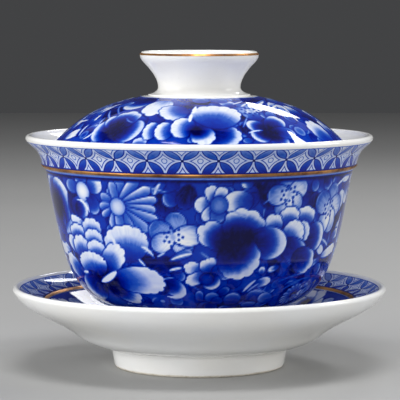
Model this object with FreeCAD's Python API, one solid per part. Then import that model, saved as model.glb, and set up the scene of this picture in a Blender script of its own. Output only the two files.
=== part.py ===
import FreeCAD, Part
import math
import os

# A gaiwan: a deep saucer, a flared bowl that stands in its well, and a domed lid that drops into
# the mouth of the bowl. Millimetres, +Z up, the axis of all three on Z, the table at z = 0.
# Every piece is turned round that axis, so an outline is a row of radii and heights. Heights on the
# saucer are above the table, on the bowl above its own foot, on the lid above the line where its
# edge sits, and on the knob above the crown of the lid. Angles are in degrees above the horizontal,
# looking outwards.

V = FreeCAD.Vector

# saucer
saucer_rim_r = 54.0            # outermost line of the saucer's lip
saucer_rim_h = 22.6            # height of that line
saucer_lip_t = 1.9             # thickness of the rounded lip
saucer_foot_base_r = 24.7      # outer radius of the foot ring near the table
saucer_foot_flare = 1.0        # how much wider the ring is where it meets the dish
saucer_foot_h = 6.4
saucer_foot_wall = 2.6
saucer_floor_t = 4.0           # the dish over the foot ring
saucer_foot_shelf = 1.1        # flat left outside the foot ring before the dish rises
saucer_shoulder_r = 36.2       # soft shoulder under the dish
saucer_shoulder_h = 9.9
saucer_shoulder_slope = 39
saucer_flange_r = 43.5         # where the underside turns into the open flange
saucer_flange_h = 14.4
saucer_flange_slope = 28
saucer_lip_slope = 62          # underside at the lip
saucer_border_top_slope = 52   # painted border at the lip, and at its inner end
saucer_border_slope = 16
saucer_border_r = 44.9         # inner end of the painted border, at the moulded ledge
saucer_border_h = 19.7
saucer_ledge_w = 0.9           # width and depth of the sloping face of that ledge
saucer_ledge_d = 0.6
saucer_ledge_riser = 0.35      # the short upright step under it
saucer_well_slope = 28         # side of the well below the step

# bowl
bowl_rim_r = 50.1              # outermost line of the bowl's lip
bowl_rim_h = 55.9
bowl_lip_t = 1.9
bowl_wall_t = 2.6
bowl_floor_t = 3.0
bowl_foot_base_r = 21.6
bowl_foot_flare = 1.2
bowl_foot_h = 8.0
bowl_foot_wall = 2.4
bowl_foot_shelf = 1.0
bowl_turn_r = 34.8             # where the bottom turns up into the belly
bowl_turn_h = 14.0
bowl_turn_slope = 53
bowl_belly_r = 40.0
bowl_belly_h = 26.0
bowl_belly_slope = 76
bowl_waist_slope = 77          # outside just under the ledge
bowl_waist_inner_slope = 80
bowl_waist_lip = 0.3           # straight stretch under the ledge's sloping face
bowl_waist_inner_drop = 0.9    # the inner wall starts to flare this far below the ledge
bowl_ledge_r = 45.5            # moulded ledge under the painted border
bowl_ledge_h = 48.2
bowl_ledge_w = 1.1             # width and height of the sloping face of the ledge
bowl_border_swell = 1.2        # how far the border has opened out half way up
bowl_border_slope = 58         # half way up the border
bowl_flare_slope = 56          # at the lip

# lid
lid_seat_h = 52.0              # line on the bowl's wall where the lid's edge sits, above the bowl's foot
lid_edge_t = 2.0               # thickness of the rounded edge
lid_wall_t = 2.6
lid_skirt_slope = 47           # outside at the edge; the lid's slopes fall inwards
lid_under_slope = 40           # inside at the edge
lid_turn_r = 37.2              # where the straight skirt bends over into the dome
lid_turn_h = 7.0
lid_turn_slope = 41
lid_crown_r = 14.9             # edge of the flat crown that carries the knob
lid_crown_h = 16.1
lid_crown_slope = 8
knob_neck_r = 11.9
knob_neck_h = 2.3              # height of the narrowest line
knob_flare_r = 14.9            # half way up the flare
knob_flare_h = 8.2
knob_flare_slope = 49
knob_lip_r = 17.15
knob_lip_h = 11.6
knob_lip_slope = 88
knob_mouth_slope = 64          # inside of the flare at the lip
knob_wall = 2.3
knob_top_t = 1.0               # thickness of the rounded top of the lip
knob_bevel_w = 0.4             # sloping top edge of the lip, which is gilded
knob_bevel_h = 0.55
knob_collar_t = 0.35           # thickness of the knob's collar at the edge of the crown
knob_collar_inset = 0.1        # the collar stops this far inside the edge of the crown
knob_collar_bevel = 0.2
knob_inner_low = 0.75          # the bore turns straight at this share of the neck's height

tread_rounding = 0.35          # of a foot ring's wall, on both edges of its tread

# clearances and thin coats
foot_well_clearance = 1.6      # round the bowl's foot in the well of the saucer
lid_seat_clearance = 0.15      # between the lid's edge and the bowl's wall
gilt_t = 0.12                  # thickness of a fired gilt line

# heights that follow from the stack
saucer_well_z = saucer_foot_h + saucer_floor_t
bowl_base_z = saucer_well_z + bowl_foot_h
lid_seat_z = saucer_well_z + lid_seat_h
crown_z = lid_seat_z + lid_crown_h


def point(r, z):
    return V(r, 0, z)


def line(a, b):
    """A straight edge between two (r, z) places."""
    return Part.LineSegment(point(*a), point(*b)).toShape()


def arc(a, b, c):
    """A round edge from a to c by way of b."""
    return Part.Arc(point(*a), point(*b), point(*c)).toShape()


def bend_poles(a, angle_a, b, angle_b):
    """Poles of a smooth bend that leaves a at one angle and reaches b at another."""
    reach = math.dist(a, b) / 3
    ta = math.radians(angle_a)
    tb = math.radians(angle_b)
    out = (a[0] + reach * math.cos(ta), a[1] + reach * math.sin(ta))
    back = (b[0] - reach * math.cos(tb), b[1] - reach * math.sin(tb))
    return [a, out, back, b]


def bend(a, angle_a, b, angle_b):
    curve = Part.BezierCurve()
    curve.setPoles([point(*p) for p in bend_poles(a, angle_a, b, angle_b)])
    return curve.toShape()


def smooth(stations):
    """Bends through a row of stations, each (r, z, angle)."""
    pairs = zip(stations, stations[1:])
    return [bend(a[:2], a[2], b[:2], b[2]) for a, b in pairs]


def inset(station, depth):
    """The station moved to the left of its own direction by a depth, still at the same angle."""
    return (*shifted(station[:2], depth, station[2] + 90), station[2])


def reverse(stations):
    return [(r, z, angle + 180) for r, z, angle in reversed(stations)]


def shifted(centre, distance, angle):
    """The place at a distance from a centre, along an angle."""
    t = math.radians(angle)
    return (centre[0] + distance * math.cos(t), centre[1] + distance * math.sin(t))


def rounding(centre, radius, leave, meet):
    """An arc about a centre that turns a direction of travel left, from one angle to another."""
    angles = (leave - 90, (leave + meet) / 2 - 90, meet - 90)
    return arc(*[shifted(centre, radius, angle) for angle in angles])


def turned(edges):
    """The solid that a closed outline sweeps when it is turned once round Z."""
    face = Part.Face(Part.Wire(Part.sortEdges(edges)[0]))
    return face.revolve(V(0, 0, 0), V(0, 0, 1), 360)


def outline(corners):
    """Straight edges round a closed row of corners."""
    return [line(a, b) for a, b in zip(corners, corners[1:] + corners[:1])]


def coat(a, b):
    """A thin ring of gilding on the left of the sloping face that runs from a to b."""
    left = math.degrees(math.atan2(b[1] - a[1], b[0] - a[0])) + 90
    return turned(outline([a, b, shifted(b, gilt_t, left), shifted(a, gilt_t, left)]))


def foot_ring(base_r, flare, low, high, wall):
    """A tapering ring with a rounded tread, standing from low up to high."""
    tread = wall * tread_rounding
    outside = (base_r, low + tread)
    inside = (base_r - wall, low + tread)
    flat_out = (base_r - tread, low)
    flat_in = (base_r - wall + tread, low)
    taper = math.degrees(math.atan2(high - outside[1], flare))
    top_out = (base_r + flare, high)
    top_in = (base_r - wall, high)
    edges = [
        line(top_out, outside),
        bend(outside, taper + 180, flat_out, 180),
        line(flat_out, flat_in),
        bend(flat_in, 180, inside, 90),
        line(inside, top_in),
        line(top_in, top_out),
    ]
    return turned(edges)


# saucer: underside from the flat over the foot out to the lip, then back over the top into the well
saucer_lip_centre = (saucer_rim_r - saucer_lip_t / 2, saucer_rim_h)
saucer_under = [
    (saucer_foot_base_r + saucer_foot_flare + saucer_foot_shelf, saucer_foot_h, 0),
    (saucer_shoulder_r, saucer_shoulder_h, saucer_shoulder_slope),
    (saucer_flange_r, saucer_flange_h, saucer_flange_slope),
    (*shifted(saucer_lip_centre, saucer_lip_t / 2, saucer_lip_slope - 90), saucer_lip_slope),
]
saucer_lip_in = shifted(saucer_lip_centre, saucer_lip_t / 2, saucer_border_top_slope + 90)
saucer_ledge_out = (saucer_border_r, saucer_border_h)
saucer_ledge_in = (saucer_border_r - saucer_ledge_w, saucer_border_h - saucer_ledge_d)
saucer_ledge_foot = (saucer_ledge_in[0], saucer_ledge_in[1] - saucer_ledge_riser)
saucer_well_edge = (bowl_foot_base_r + foot_well_clearance, saucer_well_z)


def make_saucer_dish():
    edges = [line((0, saucer_foot_h), saucer_under[0][:2])]
    edges += smooth(saucer_under)
    inwards = saucer_border_top_slope + 180
    edges.append(rounding(saucer_lip_centre, saucer_lip_t / 2, saucer_lip_slope, inwards))
    edges.append(bend(saucer_lip_in, inwards, saucer_ledge_out, saucer_border_slope + 180))
    edges.append(line(saucer_ledge_out, saucer_ledge_in))
    edges.append(line(saucer_ledge_in, saucer_ledge_foot))
    edges.append(bend(saucer_ledge_foot, saucer_well_slope + 180, saucer_well_edge, 180))
    edges.append(line(saucer_well_edge, (0, saucer_well_z)))
    edges.append(line((0, saucer_well_z), (0, saucer_foot_h)))
    return turned(edges)


# bowl: outer stations from the foot up to the ledge, and from the ledge up to the lip
bowl_lip_centre = (bowl_rim_r - bowl_lip_t / 2, saucer_well_z + bowl_rim_h)
bowl_ledge_top = (bowl_ledge_r, saucer_well_z + bowl_ledge_h)
bowl_ledge_low = (bowl_ledge_top[0] - bowl_ledge_w, bowl_ledge_top[1] - bowl_ledge_w)
bowl_border_mid_z = (bowl_ledge_top[1] + bowl_lip_centre[1]) / 2
bowl_belly = [
    (bowl_foot_base_r + bowl_foot_flare + bowl_foot_shelf, bowl_base_z, 0),
    (bowl_turn_r, saucer_well_z + bowl_turn_h, bowl_turn_slope),
    (bowl_belly_r, saucer_well_z + bowl_belly_h, bowl_belly_slope),
    (bowl_ledge_low[0], bowl_ledge_low[1] - bowl_waist_lip, bowl_waist_slope),
]
bowl_border = [
    (*bowl_ledge_top, 90),
    (bowl_ledge_r + bowl_border_swell, bowl_border_mid_z, bowl_border_slope),
    (*shifted(bowl_lip_centre, bowl_lip_t / 2, bowl_flare_slope - 90), bowl_flare_slope),
]
bowl_inner = [
    (bowl_foot_base_r, bowl_base_z + bowl_floor_t, 0),
    inset(bowl_belly[1], bowl_wall_t),
    inset(bowl_belly[2], bowl_wall_t),
    (bowl_ledge_low[0] - bowl_wall_t, bowl_ledge_low[1] - bowl_waist_inner_drop, bowl_waist_inner_slope),
    inset(bowl_border[1], bowl_wall_t),
    inset(bowl_border[2], bowl_lip_t),
]


def make_bowl_wall():
    edges = [line((0, bowl_base_z), bowl_belly[0][:2])]
    edges += smooth(bowl_belly)
    edges.append(line(bowl_belly[-1][:2], bowl_ledge_low))
    edges.append(line(bowl_ledge_low, bowl_ledge_top))
    edges += smooth(bowl_border)
    edges.append(rounding(bowl_lip_centre, bowl_lip_t / 2, bowl_flare_slope, bowl_flare_slope + 180))
    edges += smooth(reverse(bowl_inner))
    edges.append(line(bowl_inner[0][:2], (0, bowl_inner[0][1])))
    edges.append(line((0, bowl_inner[0][1]), (0, bowl_base_z)))
    return turned(edges)


def place_at_height(stations, height):
    """Where a rising row of stations passes a height, as a station, found by halving."""
    for a, b in zip(stations, stations[1:]):
        if a[1] <= height <= b[1]:
            break
    curve = Part.BezierCurve()
    curve.setPoles([point(*p) for p in bend_poles(a[:2], a[2], b[:2], b[2])])
    low, high = 0.0, 1.0
    for _ in range(40):
        middle = (low + high) / 2
        low, high = (middle, high) if curve.value(middle).z < height else (low, middle)
    place = curve.value(low)
    way = curve.tangent(low)[0]
    return (place.x, place.z, math.degrees(math.atan2(way.z, way.x)))


# lid: outer stations from the edge that sits in the bowl up to the flat crown
lid_edge = inset(place_at_height(bowl_inner, lid_seat_z), lid_edge_t / 2 + lid_seat_clearance)[:2]
lid_outer = [
    (*shifted(lid_edge, lid_edge_t / 2, 90 - lid_skirt_slope), 180 - lid_skirt_slope),
    (lid_turn_r, lid_seat_z + lid_turn_h, 180 - lid_turn_slope),
    (lid_crown_r, crown_z, 180 - lid_crown_slope),
]
lid_inner = [
    (*shifted(lid_edge, lid_edge_t / 2, 270 - lid_under_slope), 180 - lid_under_slope),
    inset(lid_outer[1], lid_wall_t),
    (lid_crown_r, crown_z - lid_wall_t, 180 - lid_crown_slope),
]
knob_outer = [
    (knob_neck_r, crown_z + knob_neck_h, 90),
    (knob_flare_r, crown_z + knob_flare_h, knob_flare_slope),
    (knob_lip_r, crown_z + knob_lip_h, knob_lip_slope),
]
knob_bevel_low = knob_outer[-1][:2]
knob_bevel_top = (knob_bevel_low[0] - knob_bevel_w, knob_bevel_low[1] + knob_bevel_h)
knob_top = (knob_bevel_top[0] - knob_top_t / 2, knob_bevel_top[1])
knob_inner = [
    (knob_neck_r - knob_wall, crown_z + knob_neck_h * knob_inner_low, 90),
    inset(knob_outer[1], knob_wall),
    (knob_bevel_top[0] - knob_top_t, knob_bevel_top[1], knob_mouth_slope),
]


def make_lid_dome():
    edges = smooth(lid_outer)
    edges.append(line(lid_outer[-1][:2], (0, crown_z)))
    edges.append(line((0, crown_z), (0, lid_inner[-1][1])))
    edges.append(line((0, lid_inner[-1][1]), lid_inner[-1][:2]))
    edges += smooth(reverse(lid_inner))
    edges.append(rounding(lid_edge, lid_edge_t / 2, -lid_under_slope, 180 - lid_skirt_slope))
    return turned(edges)


def make_lid_knob():
    collar_out = (lid_crown_r - knob_collar_inset, crown_z)
    collar_top = (collar_out[0] - knob_collar_bevel, crown_z + knob_collar_t)
    seat_in = (knob_inner[0][0], crown_z)
    edges = [line(collar_out, collar_top)]
    edges.append(bend(collar_top, 180 - lid_crown_slope, knob_outer[0][:2], 90))
    edges += smooth(knob_outer)
    edges.append(line(knob_bevel_low, knob_bevel_top))
    edges.append(rounding(knob_top, knob_top_t / 2, 90, 270))
    edges += smooth(reverse(knob_inner))
    edges.append(line(knob_inner[0][:2], seat_in))
    edges.append(line(seat_in, collar_out))
    return turned(edges)


parts = {
    "saucer_dish": make_saucer_dish(),
    "saucer_foot_ring": foot_ring(saucer_foot_base_r, saucer_foot_flare, 0, saucer_foot_h,
                                  saucer_foot_wall),
    "saucer_gilt_line": coat(saucer_ledge_in, saucer_ledge_out),
    "bowl_wall": make_bowl_wall(),
    "bowl_foot_ring": foot_ring(bowl_foot_base_r, bowl_foot_flare, saucer_well_z, bowl_base_z,
                                bowl_foot_wall),
    "bowl_gilt_band": coat(bowl_ledge_top, bowl_ledge_low),
    "lid_dome": make_lid_dome(),
    "lid_knob": make_lid_knob(),
    "lid_knob_gilt_line": coat(knob_bevel_top, knob_bevel_low),
}

os.makedirs("parts", exist_ok=True)
for name, shape in parts.items():
    shape.exportStep("parts/" + name + ".step")
    box = shape.optimalBoundingBox(False)
    print(f"{name:20s} valid {shape.isValid()} solids {len(shape.Solids)} volume {shape.Volume / 1000:7.2f} cm3"
          f"  r {box.XMax:6.2f}  z {box.ZMin:6.2f} to {box.ZMax:6.2f}")
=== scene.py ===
# A gaiwan in blue and white porcelain: saucer, bowl and lid, each painted under its glaze.
# Outlines are in millimetres from the axis and from the table, as rows of (radius, height, slope),
# and are turned round the axis. The meshes are in metres.
import bpy
import math
import numpy as np
from mathutils import Matrix, Vector


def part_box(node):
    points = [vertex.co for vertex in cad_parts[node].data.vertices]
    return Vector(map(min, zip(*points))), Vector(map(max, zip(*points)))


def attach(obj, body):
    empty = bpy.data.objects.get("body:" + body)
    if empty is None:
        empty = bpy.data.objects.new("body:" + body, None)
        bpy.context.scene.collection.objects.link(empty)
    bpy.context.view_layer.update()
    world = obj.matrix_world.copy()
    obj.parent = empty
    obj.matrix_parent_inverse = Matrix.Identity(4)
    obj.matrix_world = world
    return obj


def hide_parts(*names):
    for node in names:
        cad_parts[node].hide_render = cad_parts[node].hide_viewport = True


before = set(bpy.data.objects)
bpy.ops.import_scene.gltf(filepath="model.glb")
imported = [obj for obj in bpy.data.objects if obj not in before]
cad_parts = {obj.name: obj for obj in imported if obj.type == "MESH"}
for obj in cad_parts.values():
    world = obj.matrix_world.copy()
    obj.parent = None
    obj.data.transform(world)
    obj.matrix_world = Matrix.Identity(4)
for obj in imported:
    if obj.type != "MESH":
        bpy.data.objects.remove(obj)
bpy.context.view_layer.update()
scene = bpy.context.scene
print("frame loaded:", sorted(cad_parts))


def top(node):
    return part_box(node)[1][2] * 1000


def bottom(node):
    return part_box(node)[0][2] * 1000


def reach(node):
    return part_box(node)[1][0] * 1000


outlines = {
    "fineColumns": 720,        # round the painted stretches
    "coarseColumns": 180,      # everywhere else
    "bendSteps": 12,
    "traceSteps": 60,          # along a line that is then cut evenly
    "roundSteps": 10,
    "borderRows": 16,
    "sharpEdge": math.radians(30),
    "treadRounding": 0.35,     # of a foot ring's wall
    "bakeMargin": 0.002,       # kept free round the bake's sheet
}


def shifted(centre, distance, angle):
    # a point so far from another, 0 outwards and 90 up
    t = math.radians(angle)
    return (centre[0] + distance * math.cos(t), centre[1] + distance * math.sin(t))


def inset(station, depth):
    # the same row on the inner side of a wall
    return (*shifted(station[:2], depth, station[2] + 90), station[2])


def bendHandles(a, b):
    # a third of the way along each end's own slope
    pull = math.dist(a[:2], b[:2]) / 3
    return shifted(a[:2], pull, a[2]), shifted(b[:2], -pull, b[2])


def bendPoints(a, b, steps):
    out, back = bendHandles(a, b)
    t = np.linspace(0, 1, steps + 1)[:, None]
    ends = np.array([a[:2], out, back, b[:2]], float)
    return ((1 - t) ** 3 * ends[0] + 3 * (1 - t) ** 2 * t * ends[1]
            + 3 * (1 - t) * t * t * ends[2] + t ** 3 * ends[3])


def smoothPath(stations, steps=None):
    steps = steps or outlines["bendSteps"]
    parts = [bendPoints(a, b, steps) for a, b in zip(stations, stations[1:])]
    return np.concatenate([parts[0]] + [part[1:] for part in parts[1:]])


def roundPath(centre, radius, leave, meet):
    # an arc from the slope that it leaves at to the one that it ends at
    angles = np.linspace(leave - 90, meet - 90, outlines["roundSteps"] + 1)
    return np.array([shifted(centre, radius, angle) for angle in angles])


def reverse(stations):
    # the same line run the other way
    return [(r, z, slope + 180) for r, z, slope in reversed(stations)]


def alongPath(path):
    # mm from the path's start to each of its points
    return np.concatenate([[0], np.cumsum(np.hypot(*np.diff(path, axis=0).T))])


def evenly(path, rows):
    # the same line with its points at equal distances
    run = alongPath(path)
    marks = np.linspace(0, run[-1], rows + 1)
    return np.stack([np.interp(marks, run, path[:, 0]), np.interp(marks, run, path[:, 1])], 1)


# the dimensions of the three pieces, the same as the frame's pieces have
saucer = {
    "rimR": reach("saucer_dish"), "rimZ": 22.6, "lipT": 1.9,
    "footTop": top("saucer_foot_ring"), "footWide": reach("saucer_foot_ring"), "footShelf": 1.1,
    "footWall": 2.6, "footFlare": 1.0,
    "shoulder": (36.2, 9.9, 39), "flange": (43.5, 14.4, 28), "lipSlope": 62,
    "borderTopSlope": 52, "borderSlope": 16,
    "ledgeR": reach("saucer_gilt_line"), "ledgeZ": 19.7, "ledgeW": 0.9, "ledgeD": 0.6, "riser": 0.35,
    "borderRun": 8.35, "borderMeanR": 49.0,
    "wellSlope": 28, "wellZ": bottom("bowl_foot_ring"), "wellR": 23.2,
}

bowl = {
    "rimR": reach("bowl_wall"), "rimH": 55.9, "lipT": 1.9, "wall": 2.6, "floorT": 3.0,
    "standZ": bottom("bowl_foot_ring"), "baseZ": top("bowl_foot_ring"),
    "footWide": reach("bowl_foot_ring"), "footShelf": 1.0, "footBaseR": 21.6,
    "footWall": 2.4, "footFlare": 1.2,
    "turn": (34.8, 14.0, 53), "belly": (40.0, 26.0, 76), "waistSlope": 77, "waistLip": 0.3,
    "waistInnerSlope": 80, "waistInnerDrop": 0.9,
    "ledgeR": 45.5, "ledgeH": 48.2, "ledgeW": 1.1, "giltW": 0.60, "giltLift": 0.28,
    "borderRun": 8.97, "borderMeanR": 46.7,
    "swell": 1.2, "borderSlope": 58, "flareSlope": 56,
}

lidEdge = 2.0      # thickness of the rounded edge
lid = {
    "edgeT": lidEdge, "edgeR": reach("lid_dome") - lidEdge / 2, "edgeZ": bottom("lid_dome") + lidEdge / 2,
    "wall": 2.6,
    "skirtSlope": 133, "underSlope": 140, "turn": (37.2, 69.4, 139),
    "crownR": 14.9, "crownZ": bottom("lid_knob"), "crownSlope": 172,
}


def ringFaces(low, high):
    # corners between two rings of so many points, as (0 low or 1 high, step round) pairs
    if low == high:
        j = np.arange(low)
        square = [[0 * j, j], [0 * j, j + 1], [0 * j + 1, j + 1], [0 * j + 1, j]]
        return [np.stack(square).transpose(2, 0, 1)]
    if low == 1:
        j = np.arange(high)
        return [np.stack([[0 * j, 0 * j], [0 * j + 1, j + 1], [0 * j + 1, j]]).transpose(2, 0, 1)]
    if high == 1:
        j = np.arange(low)
        return [np.stack([[0 * j, j], [0 * j, j + 1], [0 * j + 1, 0 * j]]).transpose(2, 0, 1)]
    k = np.arange(min(low, high))
    ratio = max(low, high) // min(low, high)
    fine, coarse = (0, 1) if low > high else (1, 0)
    half = ratio // 2
    fans = [((fine, ratio * k + n), (fine, ratio * k + n + 1), (coarse, k + (n >= half)))
            for n in range(ratio)]
    fans.append(((coarse, k), (fine, ratio * k + half), (coarse, k + 1)))
    faces = []
    for fan in fans:
        corners = np.stack([[side + 0 * k, step] for side, step in fan]).transpose(2, 0, 1)
        faces.append(corners if low > high else corners[:, ::-1])
    return faces


def newPiece(name, mesh):
    mesh.set_sharp_from_angle(angle=outlines["sharpEdge"])
    piece = bpy.data.objects.new(name, mesh)
    scene.collection.objects.link(piece)
    print(name, len(mesh.vertices), "points")
    return piece


def turnedShell(name, stretches):
    # stretches: dictionaries with a path, and a painted sheet, an even tone or a border, in order round the
    # outline. The ring that two stretches share has the finer one's points.
    rings = []
    bands = []
    level = 0.0
    for stretch in stretches:
        path = stretch["path"]
        run = alongPath(path)
        tones = stretch["sheet"]["tone"] if "sheet" in stretch else None
        aside = 0 if "border" in stretch else 100      # keeps the border's pattern off the rest
        for row, (r, z) in enumerate(path):
            columns = 1 if r < 1e-6 else outlines["coarseColumns" if tones is None else "fineColumns"]
            tone = (np.full(columns, stretch.get("tone", 0.0)) if tones is None
                    else np.tile(tones[row], columns // tones.shape[1]))
            ring = {"r": r, "z": z, "columns": columns, "tone": tone}
            if row == 0 and rings:
                if rings[-1]["columns"] < columns:
                    rings[-1] = ring
            else:
                rings.append(ring)
            if row:
                bands.append((run[row - 1] + aside, run[row] + aside,
                              level + run[row - 1], level + run[row]))
        level += run[-1]

    starts = np.cumsum([0] + [ring["columns"] for ring in rings])
    spots = []
    for ring in rings:
        n = ring["columns"]
        angle = np.radians(-180 + 360 * np.arange(n) / n)
        x, y = ring["r"] * np.sin(angle), -ring["r"] * np.cos(angle)
        spots.append(np.stack([x, y, np.full(n, ring["z"])], 1))
    corners, sizes, wraps, bakes = [], [], [], []
    margin = outlines["bakeMargin"]
    for index, (alongLow, alongHigh, levelLow, levelHigh) in enumerate(bands):
        low, high = rings[index]["columns"], rings[index + 1]["columns"]
        for faces in ringFaces(low, high):
            side, step = faces[..., 0], faces[..., 1]
            n = np.where(side == 0, low, high)
            share = np.where(n == 1, (np.arange(len(faces))[:, None] + 0.5) / max(low, high), step / n)
            corners.append((starts[index + side] + step % n).ravel())
            sizes.append(np.full(len(faces), faces.shape[1]))
            wraps.append(np.stack([share, np.where(side == 0, alongLow, alongHigh)], -1).reshape(-1, 2))
            along = np.where(side == 0, levelLow, levelHigh) / level
            bakes.append(margin + (1 - 2 * margin) * np.stack([share, along], -1).reshape(-1, 2))
    mesh = bpy.data.meshes.new(name)
    spots, corners, sizes = np.concatenate(spots) / 1000, np.concatenate(corners), np.concatenate(sizes)
    mesh.vertices.add(len(spots))
    mesh.vertices.foreach_set("co", spots.ravel())
    mesh.loops.add(len(corners))
    mesh.loops.foreach_set("vertex_index", corners.astype(np.int32))
    mesh.polygons.add(len(sizes))
    mesh.polygons.foreach_set("loop_start", (np.cumsum(sizes) - sizes).astype(np.int32))
    mesh.update(calc_edges=True)
    for layer, values in (("wrap", wraps), ("OFBake", bakes)):
        uv = mesh.uv_layers.new(name=layer)
        uv.data.foreach_set("uv", np.concatenate(values).ravel())
    pigment = mesh.attributes.new("pigment", "FLOAT", "POINT")
    pigment.data.foreach_set("value", np.concatenate([ring["tone"] for ring in rings]))
    mesh.validate()
    mesh.polygons.foreach_set("use_smooth", np.ones(len(mesh.polygons), bool))
    return newPiece(name, mesh)


def newSheet(path, ground):
    # the strip of glaze that one stretch gives, laid flat. It holds how much cobalt lies on each of its
    # points, from 0 bare to 1 black-blue, and the print repeats twice round the piece.
    columns = outlines["fineColumns"] // 2
    return {
        "up": alongPath(path), "r": path[:, 0], "columns": columns, "turn": 180 / columns,
        "tone": np.full((len(path), columns), float(ground)),
    }


def window(sheet, deg, up, size):
    # the points of the sheet near one place, as mm to its right and above it
    rows = np.flatnonzero(abs(sheet["up"] - up) < size)
    if not len(rows):
        return None
    wide = int(math.degrees(size / sheet["r"][rows].min()) / sheet["turn"]) + 1
    middle = round(deg / sheet["turn"])
    wide = min(wide, sheet["columns"] // 2)
    steps = np.arange(middle - wide, middle + wide)
    x = np.radians(steps * sheet["turn"] - deg)[None, :] * sheet["r"][rows][:, None]
    y = (sheet["up"][rows] - up)[:, None] + 0 * x
    return x, y, np.ix_(rows, steps % sheet["columns"])


paint = {
    "soft": 0.36,            # width over which an edge fades
    "line": 0.99,            # the dark line round a petal
    "lineWidth": 0.34,
    "lineOut": 0.1,          # how far outside the edge it runs
    "lineStrength": 0.85,
    "shade": 0.22,           # soft shadow a petal throws on what is behind it
    "shadeWidth": 0.7,
    "belly": 0.56,           # where a petal is widest, of its length
    "tip": 0.66,             # how long the end beyond may be, of the petal's width
    "bite": 0.17,            # how deep the scallops cut, less where there are many
    "many": 5,
    "manyBite": 0.65,
    "streaks": 26,
    "follow": 0.66,          # how much of the tone follows the length, and the rest the outline
    "petalWidth": 0.82,      # of its length, in a whole flower
    "eye": 2.4,
    "stamen": 0.34,
    "stamenReach": 2.6,
    "stamenTone": 0.90,
}

# cobalt from a petal's root to its outer edge
# "lit" is how much paler the side towards the upper left is, "blush" how much darker an outer end there is
looks = {
    "deep": {"at": (0, 0.34, 0.48, 0.60, 0.72, 1), "tone": (0.98, 0.88, 0.72, 0.42, 0.16, 0.07),
             "streak": 0.16},
    "rich": {"at": (0, 0.30, 0.54, 0.72, 0.86, 1), "tone": (0.94, 0.80, 0.66, 0.46, 0.24, 0.14),
             "streak": 0.14},
    "pale": {"at": (0, 0.20, 0.32, 0.44, 0.56, 1), "tone": (0.86, 0.72, 0.55, 0.28, 0.12, 0.06),
             "streak": 0.16},
    "white": {"at": (0, 0.12, 0.30, 1), "tone": (0.60, 0.35, 0.08, 0.02), "streak": 0.06},
    "mild": {"at": (0, 0.30, 0.60, 0.85, 1), "tone": (0.78, 0.66, 0.50, 0.28, 0.16), "streak": 0.12},
    "ray": {"at": (0, 0.20, 0.50, 0.80, 1), "tone": (0.66, 0.56, 0.42, 0.26, 0.20), "streak": 0.06,
            "lit": 0.34},
    "plum": {"at": (0, 0.20, 0.45, 0.70, 0.88, 1), "tone": (0.04, 0.07, 0.16, 0.30, 0.30, 0.14),
             "streak": 0.12, "lit": -0.16, "blush": 0.42},
    "dark": {"at": (0, 0.5, 0.9, 1), "tone": (0.98, 0.93, 0.80, 0.58), "streak": 0.14},
    "dusk": {"at": (0, 0.4, 0.8, 1), "tone": (0.88, 0.78, 0.66, 0.46), "streak": 0.14},
}
upperLeft = math.radians(125)
grain = np.random.default_rng(7).random(512)


def petal(sheet, deg, up, way, length, width, look, lobes=0):
    # the root is at (deg, up); way is its direction, 0 to the right and 90 up
    seen = window(sheet, deg, up, max(length, width) + 2)
    if seen is None:
        return
    x, y, patch = seen
    t = math.radians(way)
    a = x * math.cos(t) + y * math.sin(t)
    b = y * math.cos(t) - x * math.sin(t)
    belly = max(paint["belly"] * length, length - paint["tip"] * width)
    u = a - belly
    tall = np.where(u > 0, length - belly, belly)
    half = width / 2
    turn = np.arctan2(b / half, u / tall)
    plain = np.hypot(u / tall, b / half)
    tip = 0.5 + 0.5 * np.cos(turn)
    outline = 1 + 0 * plain
    if lobes:
        deep = paint["bite"] * (1 if lobes < paint["many"] else paint["manyBite"])
        scallop = 1 - abs(np.sin(lobes * (turn + math.pi / 2))) ** 0.6
        outline = 1 - deep * scallop * np.clip(2.2 * tip - 0.5, 0, 1)
    q = plain / outline
    slope = np.hypot(u / tall ** 2, b / half ** 2) / np.maximum(plain, 1e-3)
    d = (q - 1) / np.maximum(slope, 1e-3)
    follow = paint["follow"]
    rise = np.clip(follow * a / length + (1 - follow) * np.minimum(q, 1) ** 2 * tip ** 0.5, 0, 1)
    style = looks[look]
    veins = np.arctan2(b, a + 0.3 * length)
    start = 60 + int(37 * deg + 11 * up) % 300      # another stretch of the grain for every petal
    streak = np.interp(start + veins * paint["streaks"], np.arange(len(grain)), grain) - 0.5
    tone = np.interp(rise + 0.10 * streak, style["at"], style["tone"])
    tone += style["streak"] * streak * (0.3 + 2 * rise * (1 - rise))
    tone -= style.get("lit", 0) * math.sin(upperLeft - t) * np.clip(b / half, -1, 1)
    tone += style.get("blush", 0) * max(math.cos(upperLeft - t), 0) * np.sqrt(rise) * (1 - rise ** 6)
    tone = np.clip(tone, 0, 1)

    below = sheet["tone"][patch]
    shade = paint["shade"] * np.exp(-np.maximum(d, 0) / paint["shadeWidth"])
    below = below + (1 - below) * shade
    line = paint["lineStrength"] * np.clip(1 - abs(d - paint["lineOut"]) / paint["lineWidth"], 0, 1)
    below = below + (paint["line"] - below) * line
    cover = np.clip(0.5 - d / paint["soft"], 0, 1)
    sheet["tone"][patch] = below + (tone - below) * cover


def disc(sheet, deg, up, radius, middle, edge, line=0.7, soft=False):
    # a round spot from the middle's tone to the edge's, with a line round it
    seen = window(sheet, deg, up, radius + 2)
    if seen is None:
        return
    x, y, patch = seen
    far = np.hypot(x, y)
    below = sheet["tone"][patch]
    ring = line * np.clip(1 - abs(far - radius - paint["lineOut"]) / paint["lineWidth"], 0, 1)
    below = below + (paint["line"] - below) * ring
    tone = middle + (edge - middle) * np.clip(far / radius, 0, 1) ** 2
    cover = np.clip(0.5 - (far - radius) / (radius if soft else paint["soft"]), 0, 1)
    sheet["tone"][patch] = below + (tone - below) * cover


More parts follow.
